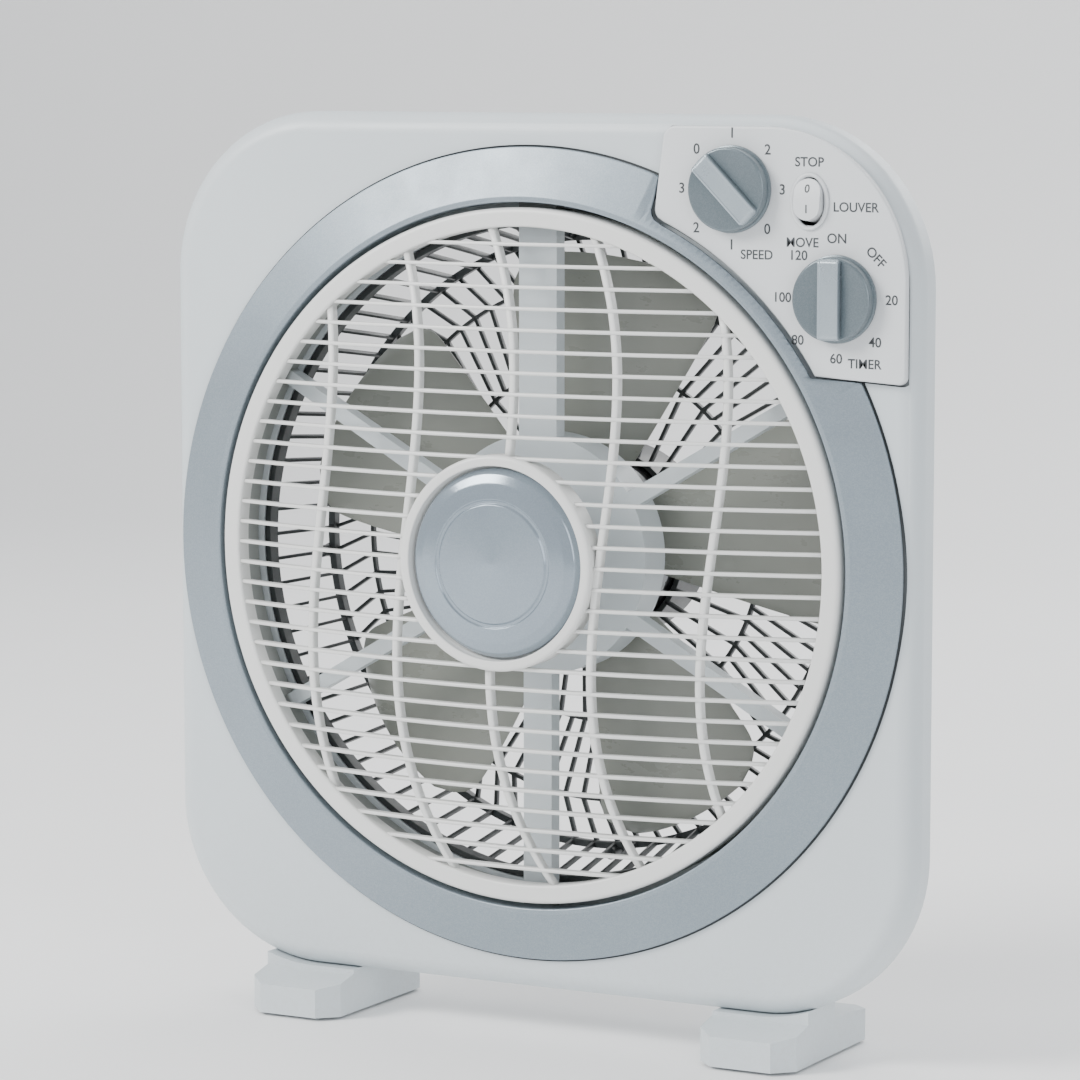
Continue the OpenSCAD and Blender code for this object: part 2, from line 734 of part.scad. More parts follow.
module hub_cap() color(silver) {
    top = -cap_front;
    r = hub_ring_r - 6.3;
    lathe([[0, top], [28, top + 0.7], [29, top + 1.2], [30, top + 0.9], [37.5, top + 1.8],
           [r - 2, top + 3.6], [r, top + 6.5], [r, -25], [r - 2.5, -25], [r - 2.5, top + 8],
           [36, top + 4.5], [0, top + 3]]);
}

module louver_shaft() color(steel) tube(louver_shaft_r, -25, cup_d1 - 3);

// ---- Fan rotor ----

// The blade's middle surface: its depth at a radius and at an angle from the blade's middle
function blade_span(r) = 28 - 6 * (r - hub_r) / (blade_r - hub_r);
function blade_sweep(r) = blade_lean * (r - hub_r) / (blade_r - hub_r);
function blade_depth(r, s) = blade_mid_d - s * blade_half_depth * (0.5 + 0.5 * r / blade_r)
                             - 4 * (1 - s * s);
// Tip corners are rounded off by drawing the last rows in
function tip_scale(r) = sqrt(1 - pow(max(0, (r - blade_r + 22) / 22), 4) * 0.55);
function blade_point(r, s, side) =
    let (a = blade_sweep(r) - s * blade_span(r) * tip_scale(r))
    [r * sin(a), -blade_depth(r, s) + side * blade_t / 2, r * cos(a)];

module blade() {
    nr = 10;
    ns = 12;
    rs = [for (i = [0:nr]) hub_r - 1.5 + (blade_r - hub_r + 1.5) * i / nr];
    pts = [for (side = [1, -1], i = [0:nr], j = [0:ns]) blade_point(rs[i], 2 * j / ns - 1, side)];
    m = ns + 1;
    n = (nr + 1) * m;
    function at(k, i, j) = k * n + i * m + j;
    faces = concat(
        [for (i = [0:nr - 1], j = [0:ns - 1]) each [
            [at(0, i, j), at(0, i + 1, j), at(0, i + 1, j + 1)],
            [at(0, i, j), at(0, i + 1, j + 1), at(0, i, j + 1)],
            [at(1, i, j), at(1, i + 1, j + 1), at(1, i + 1, j)],
            [at(1, i, j), at(1, i, j + 1), at(1, i + 1, j + 1)]]],
        [for (i = [0:nr - 1]) each [
            [at(0, i, 0), at(1, i, 0), at(1, i + 1, 0)], [at(0, i, 0), at(1, i + 1, 0), at(0, i + 1, 0)],
            [at(0, i, ns), at(1, i + 1, ns), at(1, i, ns)],
            [at(0, i, ns), at(0, i + 1, ns), at(1, i + 1, ns)]]],
        [for (j = [0:ns - 1]) each [
            [at(0, 0, j), at(1, 0, j + 1), at(1, 0, j)], [at(0, 0, j), at(0, 0, j + 1), at(1, 0, j + 1)],
            [at(0, nr, j), at(1, nr, j), at(1, nr, j + 1)],
            [at(0, nr, j), at(1, nr, j + 1), at(0, nr, j + 1)]]]);
    translate([0, face_y, axis_z]) mirror([0, 1, 0]) polyhedron(pts, faces);
}

module fan_blade() color(blade_grey) {
    for (i = [0:blade_count - 1])
        translate([0, 0, axis_z]) rotate([0, blade_turn + 360 / blade_count * i, 0]) translate([0, 0, -axis_z]) blade();
    lathe([[hub_r, hub_d1], [hub_r, hub_d0], [hub_r - 2.5, hub_d0], [hub_r - 2.5, hub_plate_d],
           [shaft_r, hub_plate_d], [shaft_r, hub_d1 - 2], [9, hub_d1 - 2], [9, hub_plate_d + 3],
           [hub_r - 2.5, hub_plate_d + 3], [hub_r - 2.5, hub_d1]]);
}

module blade_nut() color(charcoal) slab(hub_plate_d - 5, hub_plate_d) difference() {
    union() {
        circle(10);
        for (a = [0:45:315]) rotate(a) translate([10, 0]) circle(1.5);
    }
    circle(shaft_r);
}

module drive_pin() color(steel) seen_from_front(hub_d1 - 1) rotate([0, 90, 0])
    translate([0, 0, -8]) cylinder(r = 1, h = 16);

module motor_shaft() color(steel) difference() {
    tube(shaft_r, hub_plate_d - 5, pod_floor_d + 2);
    seen_from_front(hub_d1 - 1) rotate([0, 90, 0]) translate([0, 0, -9]) cylinder(r = 1, h = 18);
}

module rotor_core() color([0.55, 0.56, 0.58]) {
    tube(rotor_r, core_d0 - 1, core_d1 + 1, shaft_r);
}

// ---- Knobs and rocker ----

module knob(xz, grip_angle) {
    base = panel_d0 - knob_gap;
    skirt = 7;
    seen_from_front(base) translate([xz[0], xz[1], 0]) difference() {
        union() {
            cylinder(r1 = knob_r, r2 = knob_r - 0.6, h = skirt);
            intersection() {
                cylinder(r1 = knob_r, r2 = knob_r - 1.2, h = knob_h);
                rotate(grip_angle) translate([-5, -knob_r, 0]) cube([10, 2 * knob_r, knob_h]);
            }
        }
        translate([0, 0, -1]) cylinder(r = spindle_r, h = knob_h - 3);
    }
}

module speed_knob() color(knob_grey) knob(speed_xz, 45);
module timer_knob() color(knob_grey) knob(timer_xz, 0);
module spindle(xz, d1) tube(spindle_r, panel_d0 - knob_gap - knob_h + 4, d1, 0, xz);
module speed_spindle() color(steel) spindle(speed_xz, 16);
module timer_spindle() color(steel) spindle(timer_xz, 18);

// Tipped so that its upper end is pressed in
module louver_rocker() color(shell_grey) difference() {
    crown_r = 35;
    crown_h = 10;
    below_pin = 3;
    translate([rocker_xz[0], face_y + rocker_pivot_d, axis_z + rocker_xz[1]])
        rotate([90 - rocker_swing / 2, 0, 0]) intersection() {
            translate([0, 0, -below_pin]) linear_extrude(below_pin + crown_h + 1)
                round_rect(rocker_w, rocker_h - 1.6, rocker_w / 2 - eps);
            translate([0, 0, crown_h - crown_r]) rotate([0, 90, 0])
                cylinder(r = crown_r, h = 2 * rocker_w, center = true, $fn = 180);
        }
    on_the_rocker_axis() cylinder(r = rocker_pin_r + 0.1, h = 2 * rocker_w, center = true);
}

front_housing();
trim_ring();
control_panel();
louver_spider();
louver_motor();
louver_motor_cover();
back_cover();
guard_skirt();
rear_grille();
motor_front_cover();
motor_rear_cover();
stator_core();
stator_windings();
front_bush();
rear_bush();
speed_switch();
timer_mechanism();
rocker_switch();
run_capacitor();
terminal_block();
wire_harness();
cord_inlet();
left_foot();
right_foot();
foot_pads();
housing_screws();
spider_screws();
cover_screws();
motor_screws();
grille_screws();
panel_screws();
foot_screws();
louver_grille();
hub_cap();
louver_shaft();
fan_blade();
blade_nut();
drive_pin();
motor_shaft();
rotor_core();
speed_knob();
speed_spindle();
timer_knob();
timer_spindle();
louver_rocker();
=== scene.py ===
"""Looks of a box fan with a rotating louver grille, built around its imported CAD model."""
import json
import math

import bmesh
import bpy
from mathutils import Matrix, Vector


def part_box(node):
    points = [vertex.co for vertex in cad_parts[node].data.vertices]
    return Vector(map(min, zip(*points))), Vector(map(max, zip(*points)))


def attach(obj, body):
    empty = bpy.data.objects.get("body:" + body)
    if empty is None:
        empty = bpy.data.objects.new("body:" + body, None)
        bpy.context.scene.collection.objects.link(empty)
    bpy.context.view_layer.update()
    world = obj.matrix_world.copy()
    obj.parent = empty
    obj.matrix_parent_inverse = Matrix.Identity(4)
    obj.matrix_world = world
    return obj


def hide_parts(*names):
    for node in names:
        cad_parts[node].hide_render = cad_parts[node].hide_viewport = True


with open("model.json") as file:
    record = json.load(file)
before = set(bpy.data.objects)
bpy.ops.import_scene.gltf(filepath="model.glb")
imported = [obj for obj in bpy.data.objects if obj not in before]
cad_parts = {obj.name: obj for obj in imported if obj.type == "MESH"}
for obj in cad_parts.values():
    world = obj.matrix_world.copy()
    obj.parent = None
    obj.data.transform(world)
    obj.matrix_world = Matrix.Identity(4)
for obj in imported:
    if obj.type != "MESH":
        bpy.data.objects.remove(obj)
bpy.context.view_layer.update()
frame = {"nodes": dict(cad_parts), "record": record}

# ---- Sizes ----
# Lengths are in millimetres. x is to the right and z upward from the fan's axis, and depth runs
# backward from the front plane, which is the trim ring's outer edge.

MM = 0.001


def box_mm(node):
    """Lowest and highest corner of a CAD node, in millimetres."""
    low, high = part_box(node)
    return low / MM, high / MM


# The trim ring's inner edge and the louver's rim stand this far in front of the front plane
RING_RISE = 7.0

ring_low, ring_high = box_mm("trim_ring")
grille_low, grille_high = box_mm("louver_grille")
cap_low, cap_high = box_mm("hub_cap")
rotor_low, rotor_high = box_mm("fan_blade")
speed_low, speed_high = box_mm("speed_knob")
timer_low, timer_high = box_mm("timer_knob")

AXIS_Z = (grille_low.z + grille_high.z) / 2
FACE_Y = ring_low.y + RING_RISE
RING_R = (ring_high.z - ring_low.z) / 2
RIM_R = (grille_high.x - grille_low.x) / 2
CAP_R = (cap_high.x - cap_low.x) / 2
CAP_FRONT = cap_low.y - FACE_Y
PANEL_FRONT = -3.0
KNOB_R = (timer_high.x - timer_low.x) / 2
KNOB_BASE = timer_high.y - FACE_Y
KNOB_FRONT = timer_low.y - FACE_Y
SPEED_AT = ((speed_low.x + speed_high.x) / 2, (speed_low.z + speed_high.z) / 2 - AXIS_Z)
TIMER_AT = ((timer_low.x + timer_high.x) / 2, (timer_low.z + timer_high.z) / 2 - AXIS_Z)
ROCKER_AT = (146.0, 169.0)
BLADE_R = (rotor_high.z - rotor_low.z) / 2


def at(x, z, depth):
    """A point of the row frame, in metres."""
    return Vector((x, FACE_Y + depth, AXIS_Z + z)) * MM


def polar(radius, degrees):
    a = math.radians(degrees)
    return radius * math.cos(a), radius * math.sin(a)


# ---- Camera, floor and light ----

VIEW_AZIMUTH = 28.47
VIEW_ELEVATION = 6.58
VIEW_DISTANCE = 2.087
LENS = 148.0
SHIFT = (0.0115, 0.0155)


def make_camera():
    data = bpy.data.cameras.new("camera")
    data.lens = LENS
    data.shift_x, data.shift_y = SHIFT
    data.clip_start = 0.05
    camera = bpy.data.objects.new("camera", data)
    bpy.context.scene.collection.objects.link(camera)
    a, e = math.radians(VIEW_AZIMUTH), math.radians(VIEW_ELEVATION)
    back = Vector((math.sin(a) * math.cos(e), -math.cos(a) * math.cos(e), math.sin(e)))
    camera.location = at(0, 0, 0) + back * VIEW_DISTANCE
    camera.rotation_mode = "QUATERNION"
    camera.rotation_quaternion = (-back).to_track_quat("-Z", "Y")
    bpy.context.scene.camera = camera


def area_light(name, place, aim, size, power, colour=(1, 1, 1)):
    data = bpy.data.lights.new(name, "AREA")
    data.shape = "RECTANGLE"
    data.size, data.size_y = size
    data.energy = power
    data.color = colour
    light = bpy.data.objects.new(name, data)
    bpy.context.scene.collection.objects.link(light)
    light.location = place
    light.rotation_mode = "QUATERNION"
    light.rotation_quaternion = (Vector(aim) - Vector(place)).to_track_quat("-Z", "Y")


def make_stage():
    """A floor that bends up into the back wall."""
    side, wall, bend, height = 6.0, 2.6, 0.8, 4.0
    rows = [(-side, 0.0), (wall - bend, 0.0)]
    rows += [(wall - bend + bend * math.sin(math.radians(t)), bend - bend * math.cos(math.radians(t)))
             for t in range(10, 91, 10)]
    rows.append((wall, height))
    verts = [(x, y, z) for y, z in rows for x in (-side, side)]
    faces = [(2 * i, 2 * i + 1, 2 * i + 3, 2 * i + 2) for i in range(len(rows) - 1)]
    mesh = bpy.data.meshes.new("studio_floor")
    mesh.from_pydata(verts, [], faces)
    for polygon in mesh.polygons:
        polygon.use_smooth = True
    floor = bpy.data.objects.new("studio_floor", mesh)
    bpy.context.scene.collection.objects.link(floor)
    floor.data.materials.append(floor_paint())


def make_lights():
    world = bpy.data.worlds.new("studio")
    world.use_nodes = True
    background = world.node_tree.nodes["Background"]
    background.inputs["Color"].default_value = (0.93, 0.96, 1.0, 1)
    background.inputs["Strength"].default_value = 0.68
    bpy.context.scene.world = world
    aim = (0, 0, 0.23)
    area_light("key", (-1.5, -1.7, 1.7), aim, (1.1, 1.1), 80, (1.0, 0.99, 0.97))
    area_light("fill", (1.9, -1.6, 0.9), aim, (1.4, 1.4), 21, (0.94, 0.97, 1.0))
    area_light("top", (0.0, 0.3, 2.2), aim, (1.6, 1.2), 22)
    area_light("back", (0.4, 2.1, 1.2), aim, (1.6, 1.0), 24)


# ---- Materials ----


class Nodes:
    """A short way to write a node tree."""

    def __init__(self, name):
        self.material = bpy.data.materials.new(name)
        self.material.use_nodes = True
        self.tree = self.material.node_tree
        self.shader = self.tree.nodes["Principled BSDF"]
        self.coords = self.tree.nodes.new("ShaderNodeTexCoord").outputs["Object"]

    def add(self, kind, values=(), **settings):
        node = self.tree.nodes.new(kind)
        for key, value in settings.items():
            setattr(node, key, value)
        for key, value in dict(values).items():
            if isinstance(value, bpy.types.NodeSocket):
                self.tree.links.new(value, node.inputs[key])
            else:
                node.inputs[key].default_value = value
        return node

    def noise(self, per_metre, detail=3.0, roughness=0.5, stretch=None):
        vector = self.coords
        if stretch:
            vector = self.add("ShaderNodeMapping", {"Vector": vector, "Scale": stretch}).outputs[0]
        return self.add("ShaderNodeTexNoise", {"Vector": vector, "Scale": per_metre, "Detail": detail,
                                               "Roughness": roughness}).outputs["Fac"]

    def spread(self, value, low, high, from_low=0.3, from_high=0.7):
        return self.add("ShaderNodeMapRange", {"Value": value, "From Min": from_low, "From Max": from_high,
                                               "To Min": low, "To Max": high}).outputs[0]

    def mix(self, factor, a, b, blend="MIX"):
        node = self.tree.nodes.new("ShaderNodeMix")
        node.data_type = "RGBA"
        node.blend_type = blend
        for socket, value in ((node.inputs[0], factor), (node.inputs[6], a), (node.inputs[7], b)):
            if isinstance(value, bpy.types.NodeSocket):
                self.tree.links.new(value, socket)
            else:
                socket.default_value = value
        return node.outputs[2]

    def bump(self, height, distance, strength=1.0, normal=None):
        values = {"Height": height, "Distance": distance, "Strength": strength}
        if normal:
            values["Normal"] = normal
        return self.add("ShaderNodeBump", values).outputs["Normal"]

    def link(self, output, name):
        self.tree.links.new(output, self.shader.inputs[name])

    def set(self, **values):
        for key, value in values.items():
            self.shader.inputs[key.replace("_", " ")].default_value = value


def rgba(colour, gain=1.0):
    return tuple(min(1.0, c * gain) for c in colour) + (1.0,)


def moulded_plastic(name, colour, roughness=0.4, grain=0.00004, grain_scale=1500, mottle=0.04,
                    dust=0.0):
    """Injection-moulded plastic: a fine grain, slow waves of the moulding, and slight handling marks."""
    n = Nodes(name)
    cloud = n.noise(9.0, 4.0)
    colour_out = n.mix(n.spread(cloud, 0.0, 1.0), rgba(colour, 1 - mottle), rgba(colour, 1 + mottle))
    if dust:
        low = n.add("ShaderNodeSeparateXYZ", {"Vector": n.coords}).outputs["Z"]
        fall = n.spread(low, dust, 0.0, 0.0, 0.12)
        speck = n.noise(420.0, 5.0, 0.7)
        amount = n.add("ShaderNodeMath", {0: fall, 1: n.spread(speck, 0.0, 1.0, 0.45, 0.75)},
                       operation="MULTIPLY").outputs[0]
        colour_out = n.mix(amount, colour_out, (0.42, 0.40, 0.36, 1))
    n.link(colour_out, "Base Color")
    smear = n.noise(34.0, 5.0, 0.65, (1.0, 1.0, 2.2))
    n.link(n.spread(smear, roughness - 0.05, roughness + 0.06), "Roughness")
    wave = n.bump(n.noise(22.0, 1.0), 0.00025, 0.35)
    n.link(n.bump(n.noise(grain_scale, 2.0, 0.6), grain, 1.0, wave), "Normal")
    return n.material


def silver_paint(name, colour, roughness=0.36, flake=0.10):
    """Silver-grey paint: small flakes of different brightness under a thin clear layer."""
    n = Nodes(name)
    cells = n.add("ShaderNodeTexVoronoi", {"Vector": n.coords, "Scale": 2600.0}).outputs["Color"]
    value = n.add("ShaderNodeSeparateColor", {"Color": cells}).outputs[0]
    cloud = n.mix(n.spread(n.noise(14.0, 4.0), 0.0, 1.0), rgba(colour, 0.965), rgba(colour, 1.035))
    n.link(n.mix(n.spread(value, 0.0, flake, 0.2, 1.0), cloud, (0.95, 0.97, 1.0, 1)), "Base Color")
    n.link(n.spread(n.noise(40.0, 5.0, 0.65), roughness - 0.05, roughness + 0.06), "Roughness")
    n.link(n.bump(n.noise(900.0, 2.0), 0.00002, 0.6, n.bump(n.noise(20.0, 1.0), 0.0002, 0.3)), "Normal")
    n.set(Metallic=0.45, Coat_Weight=0.25, Coat_Roughness=0.18)
    return n.material


def bare_metal(name, colour, roughness, brushed=(1.0, 1.0, 1.0)):
    n = Nodes(name)
    streak = n.noise(700.0, 3.0, 0.6, brushed)
    stain = n.noise(45.0, 5.0, 0.7)
    n.link(n.mix(n.spread(stain, 0.0, 1.0), rgba(colour, 0.82), rgba(colour, 1.08)), "Base Color")
    n.link(n.spread(streak, roughness - 0.08, roughness + 0.12), "Roughness")
    n.link(n.bump(streak, 0.00003, 0.8), "Normal")
    n.set(Metallic=1.0)
    return n.material


def soft_rubber(name, colour):
    n = Nodes(name)
    n.link(n.mix(n.noise(80.0, 4.0), rgba(colour, 0.7), rgba(colour, 1.6)), "Base Color")
    n.link(n.spread(n.noise(160.0, 4.0), 0.62, 0.85), "Roughness")
    n.link(n.bump(n.noise(2200.0, 3.0), 0.00006, 1.0), "Normal")
    return n.material


def wound_wire(name, colour):
    """Turns of enamelled wire, lying round the coil."""
    n = Nodes(name)
    turns = n.add("ShaderNodeTexWave", {"Vector": n.coords, "Scale": 420.0, "Distortion": 1.2, "Detail": 2.0},
                  bands_direction="DIAGONAL").outputs["Fac"]
    n.link(n.mix(turns, rgba(colour, 0.45), rgba(colour, 1.1)), "Base Color")
    n.link(n.bump(turns, 0.0004, 0.8), "Normal")
    n.set(Metallic=0.7, Roughness=0.32)
    return n.material


def stacked_steel(name, colour):
    """Thin varnished steel sheets, stacked along the depth."""
    n = Nodes(name)
    sheets = n.add("ShaderNodeTexWave", {"Vector": n.coords, "Scale": 320.0, "Distortion": 0.3},
                   bands_direction="Y").outputs["Fac"]
    n.link(n.mix(sheets, rgba(colour, 0.6), rgba(colour, 1.15)), "Base Color")
    n.link(n.spread(n.noise(120.0, 4.0), 0.35, 0.55), "Roughness")
    n.link(n.bump(sheets, 0.0002, 0.6), "Normal")
    n.set(Metallic=0.8)
    return n.material


def floor_paint():
    n = Nodes("studio_paint")
    n.link(n.mix(n.noise(3.0, 4.0), (0.93, 0.93, 0.93, 1), (0.95, 0.95, 0.95, 1)), "Base Color")
    n.link(n.spread(n.noise(12.0, 4.0), 0.5, 0.62), "Roughness")
    n.link(n.bump(n.noise(260.0, 3.0), 0.0002, 0.25), "Normal")
    return n.material


SHELL = (0.60, 0.65, 0.675)
PAINTS = {
    "housing_plastic": moulded_plastic("housing_plastic", SHELL, 0.38, 0.00005, 1300, 0.03, dust=0.16),
    "panel_plastic": moulded_plastic("panel_plastic", (0.68, 0.70, 0.715), 0.34, 0.00003, 1800, 0.02),
    "trim_silver": silver_paint("trim_silver", (0.235, 0.285, 0.325), 0.42, 0.07),
    "grille_plastic": moulded_plastic("grille_plastic", (0.72, 0.725, 0.71), 0.33, 0.00003, 1700, 0.03),
    "cap_plastic": silver_paint("cap_plastic", (0.25, 0.305, 0.355), 0.16, 0.05),
    "blade_plastic": moulded_plastic("blade_plastic", (0.27, 0.28, 0.25), 0.30, 0.00003, 1100, 0.08,
                                     dust=0.1),
    "guard_plastic": moulded_plastic("guard_plastic", (0.03, 0.035, 0.036), 0.42, 0.00005, 1300, 0.12,
                                     dust=0.2),
    "knob_plastic": silver_paint("knob_plastic", (0.13, 0.165, 0.185), 0.32, 0.04),
    "case_plastic": moulded_plastic("case_plastic", (0.66, 0.62, 0.50), 0.45),
    "black_plastic": moulded_plastic("black_plastic", (0.02, 0.02, 0.021), 0.4),
    "steel": bare_metal("steel", (0.60, 0.61, 0.63), 0.32, (1.0, 6.0, 1.0)),
    "lamination": stacked_steel("lamination", (0.25, 0.26, 0.28)),
    "copper": wound_wire("copper", (0.62, 0.27, 0.11)),
    "bronze": bare_metal("bronze", (0.55, 0.38, 0.17), 0.4),
    "rubber": soft_rubber("rubber", (0.03, 0.03, 0.032)),
    "wire_insulation": soft_rubber("wire_insulation", (0.025, 0.025, 0.03)),
}
# Painted highlight: a lighter copy of the knob's paint for the finger bar, standing in for the light its top
# catches
KNOB_BAR_PAINTED_HIGHLIGHT = silver_paint("knob_bar_painted_highlight", (0.36, 0.42, 0.46), 0.3, 0.06)
# Painted shade: a dark grey for the groove faces, standing in for the shade inside the grooves
GAP_PAINTED_SHADE = moulded_plastic("gap_painted_shade", (0.10, 0.11, 0.115), 0.6)
LEGEND_INK = moulded_plastic("legend_ink", (0.04, 0.045, 0.05), 0.5, 0.00001, 2600, 0.2)
BODY_OF = {node: body for body, nodes in frame["record"]["behaviour"]["bodies"].items()
           for node in nodes}
SLOT_OF = {row["node"]: row["material_slot"] for row in frame["record"]["subparts"]}
# Radius past which the spider's ring wall is painted darker, as painted shade
SPIDER_SHADE_R = 158.0


def spider_plastic_painted_shade():
    """The housing's plastic, with painted shade: the ring's inner wall in a darker grey."""
    material = moulded_plastic("spider_plastic_painted_shade", SHELL, 0.38, 0.00005, 1300, 0.03)
    tree = material.node_tree
    coords = [node for node in tree.nodes if node.type == "TEX_COORD"][0].outputs["Object"]
    flat = tree.nodes.new("ShaderNodeVectorMath")
    flat.operation = "MULTIPLY_ADD"
    tree.links.new(coords, flat.inputs[0])
    flat.inputs[1].default_value = (1, 0, 1)
    flat.inputs[2].default_value = (0, 0, -AXIS_Z * MM)
    length = tree.nodes.new("ShaderNodeVectorMath")
    length.operation = "LENGTH"
    tree.links.new(flat.outputs[0], length.inputs[0])
    ramp = tree.nodes.new("ShaderNodeMapRange")
    ramp.inputs["From Min"].default_value = (SPIDER_SHADE_R - 1) * MM
    ramp.inputs["From Max"].default_value = (SPIDER_SHADE_R + 1) * MM
    tree.links.new(length.outputs["Value"], ramp.inputs["Value"])
    shader = tree.nodes["Principled BSDF"]
    plain = shader.inputs["Base Color"].links[0].from_socket
    mix = tree.nodes.new("ShaderNodeMix")
    mix.data_type = "RGBA"
    tree.links.new(ramp.outputs[0], mix.inputs[0])
    tree.links.new(plain, mix.inputs[6])
    # Painted shade: this darker grey on the ring's inner wall stands in for the shade there
    mix.inputs[7].default_value = (0.26, 0.275, 0.265, 1)
    tree.links.new(mix.outputs[2], shader.inputs["Base Color"])
    return material


def paint_cad_nodes():
    spider = spider_plastic_painted_shade()
    for name, node in frame["nodes"].items():
        node.data.materials.clear()
        # The spider takes the plastic with painted shade on its ring's inner wall
        node.data.materials.append(spider if name == "louver_spider" else PAINTS[SLOT_OF[name]])


# ---- Building pieces ----


def build(name, verts, faces, slot_name, node=None, smooth=True):
    """A piece in the row frame from points in metres; it stands for a CAD node if one is named."""
    mesh = bpy.data.meshes.new(name)
    mesh.from_pydata([tuple(v) for v in verts], [], faces)
    mesh.validate()
    work = bmesh.new()
    work.from_mesh(mesh)
    bmesh.ops.recalc_face_normals(work, faces=work.faces)
    work.to_mesh(mesh)
    work.free()
    for polygon in mesh.polygons:
        polygon.use_smooth = smooth
    obj = bpy.data.objects.new(name, mesh)
    bpy.context.scene.collection.objects.link(obj)
    mesh.materials.append(PAINTS[slot_name])
    if node:
        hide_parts(node)
        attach(obj, BODY_OF[node])
    return obj


def refine(obj):
    """Evens an own piece's shading."""
    normals = obj.modifiers.new("normals", "WEIGHTED_NORMAL")
    normals.keep_sharp = False


def fillet(points, closed=True, steps=4):
    """Rounds the corners of a flat outline given as (x, y, corner radius)."""
    out = []
    count = len(points)
    for i, (x, y, r) in enumerate(points):
        if r <= 0 or (not closed and i in (0, count - 1)):
            out.append((x, y))
            continue
        here = Vector((x, y))
        before = Vector(points[i - 1][:2]) - here
        after = Vector(points[(i + 1) % count][:2]) - here
        half = before.angle(after) / 2
        if half > math.radians(89):
            out.append((x, y))
            continue
        cut = min(r / math.tan(half), before.length * 0.49, after.length * 0.49)
        start, end = here + before.normalized() * cut, here + after.normalized() * cut
        for k in range(steps + 1):
            t = k / steps
            point = start * (1 - t) ** 2 + here * (2 * t * (1 - t)) + end * t ** 2
            out.append((point.x, point.y))
    return out


def turned(section, centre=(0, 0), segments=256):
    """Points and faces of a closed section of (radius, depth, corner radius), turned about an axis."""
    rows = fillet(section)
    verts, faces = [], []
    for k in range(segments):
        c, si = polar(1, 360 * k / segments)
        verts += [at(centre[0] + r * c, centre[1] + r * si, d) for r, d in rows]
    m = len(rows)
    for k in range(segments):
        n = (k + 1) % segments
        for j in range(m):
            q = (j + 1) % m
            quad = [k * m + j, n * m + j, n * m + q, k * m + q]
            if rows[j][0] < 1e-6 and rows[q][0] < 1e-6:
                continue
            faces.append(quad)
    return verts, faces


def joined(*parts):
    verts, faces = [], []
    for v, f in parts:
        shift = len(verts)
        verts += v
        faces += [[i + shift for i in face] for face in f]
    return verts, faces


def loft(rows):
    """Closed rings of points joined one to the next, with a cap at each end."""
    m = len(rows[0])
    verts = [p for row in rows for p in row]
    faces = [[a * m + j, (a + 1) * m + j, (a + 1) * m + (j + 1) % m, a * m + (j + 1) % m]
             for a in range(len(rows) - 1) for j in range(m)]
    faces.append(list(range(m)))
    faces.append([(len(rows) - 1) * m + j for j in reversed(range(m))])
    return verts, faces


def plate(outline, levels):
    """An outline of (x, z), from front to back by levels of (depth, inset)."""
    rows = []
    count = len(outline)
    for depth, inset in levels:
        row = []
        for i in range(count):
            p, a, b = (Vector(outline[j % count]) for j in (i, i - 1, i + 1))
            t = (b - a).normalized()
            inward = Vector((-t.y, t.x))
            row.append(at(p.x + inward.x * inset, p.y + inward.y * inset, depth))
        rows.append(row)
    return loft(rows)


def cut_away(target, tool, kind="DIFFERENCE"):
    """Cuts a tool out of a piece, or keeps what they share, and removes the tool."""
    cut = target.modifiers.new("cut", "BOOLEAN")
    cut.operation, cut.solver, cut.object = kind, "EXACT", tool
    bpy.context.view_layer.update()
    evaluated = target.evaluated_get(bpy.context.evaluated_depsgraph_get())
    done = bpy.data.meshes.new_from_object(evaluated)
    target.modifiers.clear()
    target.data = done
    bpy.data.objects.remove(tool)


def repaint(obj, material):
    """Gives a cut piece one material and smooth shading again."""
    obj.data.materials.clear()
    obj.data.materials.append(material)
    for polygon in obj.data.polygons:
        polygon.material_index = 0
        polygon.use_smooth = True


def soften(node, width_mm):
    """Rounds a CAD node's sharp edges with modifiers, which leave its mesh as it is."""
    weld = node.modifiers.new("weld", "WELD")
    weld.merge_threshold = 0.000002
    flat = node.modifiers.new("flat", "DECIMATE")
    flat.decimate_type = "DISSOLVE"
    flat.angle_limit = math.radians(0.4)
    bevel = node.modifiers.new("bevel", "BEVEL")
    bevel.width = width_mm * MM
    bevel.segments = 3
    bevel.limit_method = "ANGLE"
    bevel.angle_limit = math.radians(35)
    bevel.harden_normals = False
    normals = node.modifiers.new("normals", "WEIGHTED_NORMAL")
    normals.keep_sharp = False


# ---- Rotating louver ----

DOME_RISE, RIM_W = 26.0, 9.0
CLEAR_R = RIM_R - RIM_W
DOME_R = (CLEAR_R ** 2 + DOME_RISE ** 2) / (2 * DOME_RISE)
DOME_D = -RING_RISE - DOME_RISE + DOME_R
HUB_RING_R = 50.5
SLAT_PITCH, SLAT_T, SLAT_DEPTH = 9.8, 1.9, 5.0
RIB_W = 3.6
CUP_FLOOR, BOSS_R, BOSS_BACK, BOSS_BORE_R = -25.0, 9.0, 7.0, 3.6
RIB_STARTS = (-104, -52, 0, 52, 104)
SLATS = 31


def dome(x, z):
    return DOME_D - math.sqrt(DOME_R ** 2 - x * x - z * z)


def slat_section(half, depth, r):
    """Corners of a slat's section as (across, backward), rounded in front."""
    back = half * 0.72
    return fillet([(-half, 0, r), (half, 0, r), (back, depth, 0.2), (-back, depth, 0.2)], steps=3)


def slat(x0, x1, z):
    steps = max(4, int(abs(x1 - x0) / 7))
    section = slat_section(SLAT_T / 2, SLAT_DEPTH, SLAT_T * 0.46)
    return loft([[at(x, z + v, dome(x, z) + w) for v, w in section]
                 for x in (x0 + (x1 - x0) * k / steps for k in range(steps + 1))])


